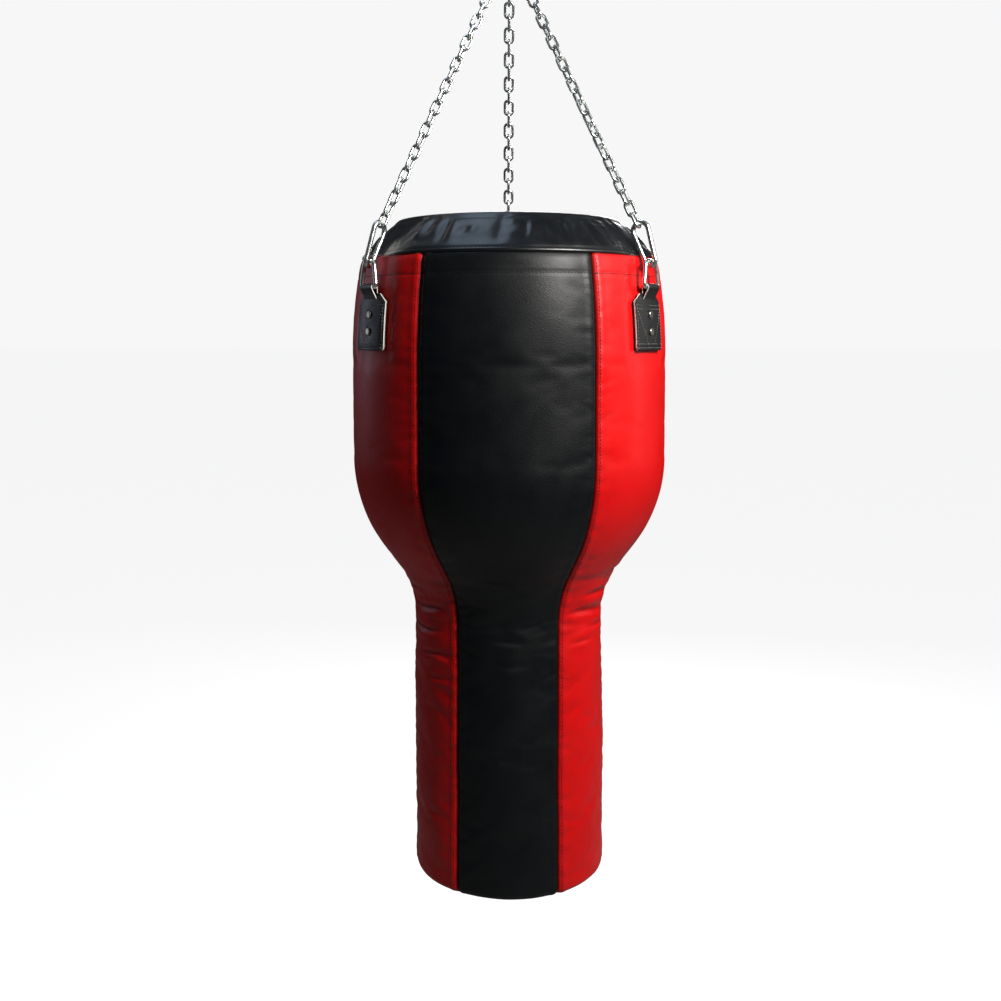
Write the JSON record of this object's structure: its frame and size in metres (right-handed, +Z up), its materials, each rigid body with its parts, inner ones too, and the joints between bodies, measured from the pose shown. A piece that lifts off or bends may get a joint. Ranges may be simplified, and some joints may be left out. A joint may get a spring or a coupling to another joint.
{
  "type": "punching bag",
  "caption": "Hanging uppercut punching bag with a wide padded head tapering to a narrow trunk, in panels of two colours, on chain legs from a ball-bearing swivel.",
  "frame": {"origin": "centre of the swivel's hanging eye, from which the bag hangs", "axes": "+Z up, -Y the front, where the middle of a black panel faces, +X to the right seen from the front"},
  "size_m": [0.394, 0.4054, 1.284],
  "materials": {
    "black_leather": "satin, pale cut edges",
    "black_vinyl": "glossy coated fabric",
    "canvas": "plain woven sack",
    "foam": "soft wrap",
    "red_vinyl": "glossy coated fabric",
    "steel": "bright steel",
    "textile_fill": "shredded textile",
    "webbing": "woven strap",
    "zinc_plate": "bright zinc plate",
    "zip_metal": "zip teeth, slider and pull",
    "zip_tape": "woven tape"
  },
  "bodies": {
    "swivel": {"swivel_housing": "zinc_plate", "swivel_cap": "zinc_plate", "lower_race": "steel"},
    "stem": {"eye_bolt": "zinc_plate", "swivel_nut": "steel", "upper_race": "steel", "race_balls": "steel"},
    "ring": {"gather_ring": "zinc_plate"},
    "right_gate": {"right_snap_gate": "zinc_plate"},
    "rear_gate": {"rear_snap_gate": "zinc_plate"},
    "left_gate": {"left_snap_gate": "zinc_plate"},
    "zip_slider": {"zip_slider": "zip_metal"},
    "zip_pull": {"zip_pull": "zip_metal"},
    "bag": {"base_disc": "black_vinyl", "base_foam": "foam", "filling": "textile_fill", "front_panel": "black_vinyl", "head_foam": "foam", "inner_sack": "canvas", "left_chain": "zinc_plate", "left_dee_ring": "zinc_plate", "left_gate_pin": "steel", "left_panel": "red_vinyl", "left_rear_panel": "black_vinyl", "left_snap_hook": "zinc_plate", "left_tab_patch": "black_leather", "left_tab_rivets": "zinc_plate", "left_tab_strap": "webbing", "lid_front": "black_vinyl", "lid_rear": "black_vinyl", "rear_chain": "zinc_plate", "rear_dee_ring": "zinc_plate", "rear_gate_pin": "steel", "rear_panel": "red_vinyl", "rear_snap_hook": "zinc_plate", "rear_tab_patch": "black_leather", "rear_tab_rivets": "zinc_plate", "rear_tab_strap": "webbing", "right_chain": "zinc_plate", "right_dee_ring": "zinc_plate", "right_gate_pin": "steel", "right_panel": "red_vinyl", "right_rear_panel": "black_vinyl", "right_snap_hook": "zinc_plate", "right_tab_patch": "black_leather", "right_tab_rivets": "zinc_plate", "right_tab_strap": "webbing", "shoulder_collar": "black_vinyl", "taper_foam": "foam", "top_foam": "foam", "trunk_foam": "foam", "zip_tape_front": "zip_tape", "zip_tape_rear": "zip_tape", "zip_teeth": "zip_metal"}
  },
  "joints": [
    {"name": "swivel_spin", "type": "hinge", "parent": "swivel", "child": "stem", "pos_m": [0, 0, -0.0275], "axis": [0, 0, 1], "continuous": true},
    {"name": "swing_front_back", "type": "hinge", "parent": "stem", "child": "ring", "pos_m": [0, 0, -0.076], "axis": [1, 0, 0], "range_deg": [-35, 35]},
    {"name": "swing_side", "type": "hinge", "parent": "ring", "child": "bag", "pos_m": [0, 0, -0.098], "axis": [0, 1, 0], "range_deg": [-35, 35]},
    {"name": "right_gate_hinge", "type": "hinge", "parent": "bag", "child": "right_gate", "pos_m": [0.15915, -0.10735, -0.48994], "axis": [0.5592, 0.829, 0], "range_deg": [0, 22], "stiffness_Nm_per_rad": 0.05, "springref_deg": -17.19},
    {"name": "rear_gate_hinge", "type": "hinge", "parent": "bag", "child": "rear_gate", "pos_m": [0, 0.19198, -0.48994], "axis": [-1, 0, 0], "range_deg": [0, 22], "stiffness_Nm_per_rad": 0.05, "springref_deg": -17.19},
    {"name": "left_gate_hinge", "type": "hinge", "parent": "bag", "child": "left_gate", "pos_m": [-0.1612, -0.10536, -0.48972], "axis": [0.836, -0.5293, -0.1445], "range_deg": [0, 22], "stiffness_Nm_per_rad": 0.05, "springref_deg": -17.19},
    {"name": "zip_slide", "type": "slide", "parent": "bag", "child": "zip_slider", "axis": [1, 0, 0], "range_m": [0, 0.216]},
    {"name": "zip_pull_flip", "type": "hinge", "parent": "zip_slider", "child": "zip_pull", "pos_m": [-0.108, 0, -0.4317], "axis": [0, -1, 0], "range_deg": [0, 178]}
  ]
}
